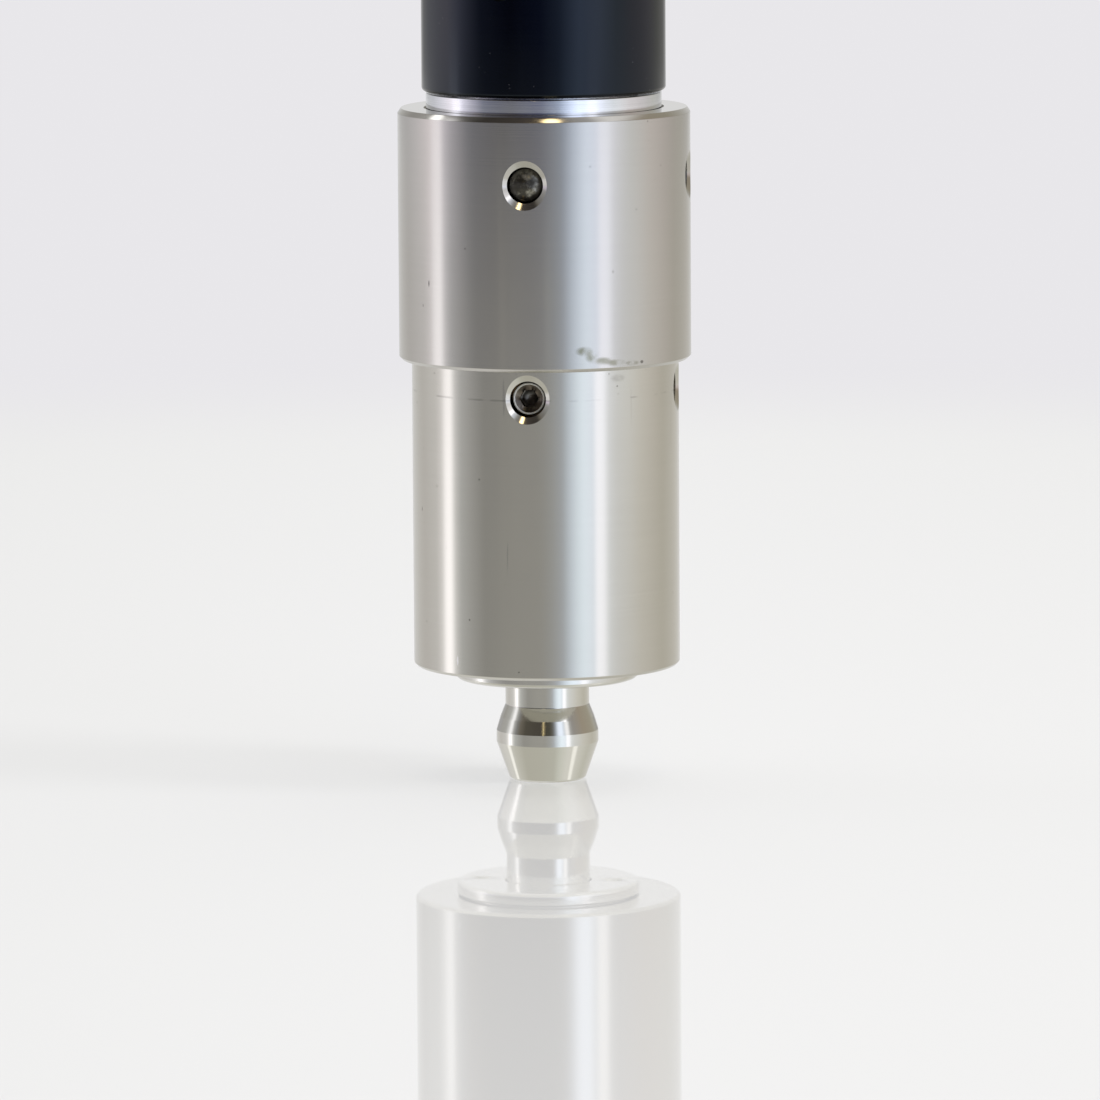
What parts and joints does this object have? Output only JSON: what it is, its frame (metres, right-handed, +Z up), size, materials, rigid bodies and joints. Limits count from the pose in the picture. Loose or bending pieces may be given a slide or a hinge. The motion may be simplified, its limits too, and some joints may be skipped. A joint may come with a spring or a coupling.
{
  "type": "capping machine spindle head",
  "caption": "Capping machine head: a black bearing housing over a keyed spindle with a clamped steel collar, a spring-loaded sliding tool holder and an olive-shaped tip.",
  "frame": {"origin": "centre of the tip's flat end face, the lowest point of the head", "axes": "+Z up the spindle axis towards the machine; the set screws lie along -Y, +X, +Y and -X, and the shank's key faces -Y"},
  "size_m": [0.035, 0.035, 0.1651],
  "materials": {
    "black_anodised": "black anodised, satin",
    "turned_aluminium": "bright turned",
    "turned_stainless": "fine turned and lightly polished",
    "polished_stainless": "polished",
    "blackened_steel": "black oxide, worn",
    "bearing_steel": "ground",
    "spring_steel": "drawn",
    "brass": "machined",
    "bronze": "machined",
    "nitrile_rubber": "moulded"
  },
  "bodies": {
    "housing": {"spindle_housing": "black_anodised", "lower_bearing_cap": "black_anodised", "top_cap": "black_anodised", "bearing_retainer": "turned_aluminium", "lower_bearing_outer_ring": "bearing_steel", "upper_bearing_outer_ring": "bearing_steel", "outer_spacer": "turned_aluminium", "lower_shaft_seal": "nitrile_rubber", "upper_shaft_seal": "nitrile_rubber", "cap_lock_screw_1": "blackened_steel", "cap_lock_screw_2": "blackened_steel", "cap_lock_screw_3": "blackened_steel"},
    "spindle": {"spindle_shaft": "bearing_steel", "drive_key": "brass", "upper_collar": "turned_stainless", "collar_set_screw_1": "blackened_steel", "collar_set_screw_2": "blackened_steel", "collar_set_screw_3": "blackened_steel", "collar_set_screw_4": "blackened_steel", "lower_bearing_inner_ring": "bearing_steel", "upper_bearing_inner_ring": "bearing_steel", "inner_spacer": "turned_aluminium", "nut_washer": "bearing_steel", "spindle_lock_nut": "blackened_steel", "drive_hub": "bronze", "hub_cross_pin": "bearing_steel", "hub_washer": "bearing_steel", "hub_bolt": "blackened_steel", "compression_spring": "spring_steel"},
    "tool_holder": {"tool_holder": "turned_stainless", "dog_point_screw_1": "polished_stainless", "dog_point_screw_2": "polished_stainless", "dog_point_screw_3": "polished_stainless", "dog_point_screw_4": "polished_stainless", "tip_retaining_ring": "turned_stainless", "drive_tip": "polished_stainless", "tip_dowel": "bearing_steel", "spring_seat_washer": "bearing_steel"},
    "lower_cage": {"lower_bearing_cage": "brass", "lower_bearing_ball_1": "bearing_steel", "lower_bearing_ball_2": "bearing_steel", "lower_bearing_ball_3": "bearing_steel", "lower_bearing_ball_4": "bearing_steel", "lower_bearing_ball_5": "bearing_steel", "lower_bearing_ball_6": "bearing_steel", "lower_bearing_ball_7": "bearing_steel"},
    "upper_cage": {"upper_bearing_cage": "brass", "upper_bearing_ball_1": "bearing_steel", "upper_bearing_ball_2": "bearing_steel", "upper_bearing_ball_3": "bearing_steel", "upper_bearing_ball_4": "bearing_steel", "upper_bearing_ball_5": "bearing_steel", "upper_bearing_ball_6": "bearing_steel", "upper_bearing_ball_7": "bearing_steel"}
  },
  "joints": [
    {"name": "spindle_spin", "type": "hinge", "parent": "housing", "child": "spindle", "pos_m": [0, 0, 0.0894], "axis": [0, 0, 1], "continuous": true},
    {"name": "holder_slide", "type": "slide", "parent": "spindle", "child": "tool_holder", "axis": [0, 0, 1], "range_m": [0, 0.005], "stiffness_N_per_m": 5400, "springref_m": -0.003, "deforming": ["compression_spring"]},
    {"name": "lower_cage_spin", "type": "hinge", "parent": "housing", "child": "lower_cage", "pos_m": [0, 0, 0.0894], "axis": [0, 0, 1], "continuous": true},
    {"name": "upper_cage_spin", "type": "hinge", "parent": "housing", "child": "upper_cage", "pos_m": [0, 0, 0.1299], "axis": [0, 0, 1], "continuous": true}
  ],
  "couplings": [
    {"joint": "lower_cage_spin", "follows": "spindle_spin", "ratio": 0.40078},
    {"joint": "upper_cage_spin", "follows": "spindle_spin", "ratio": 0.40078}
  ]
}
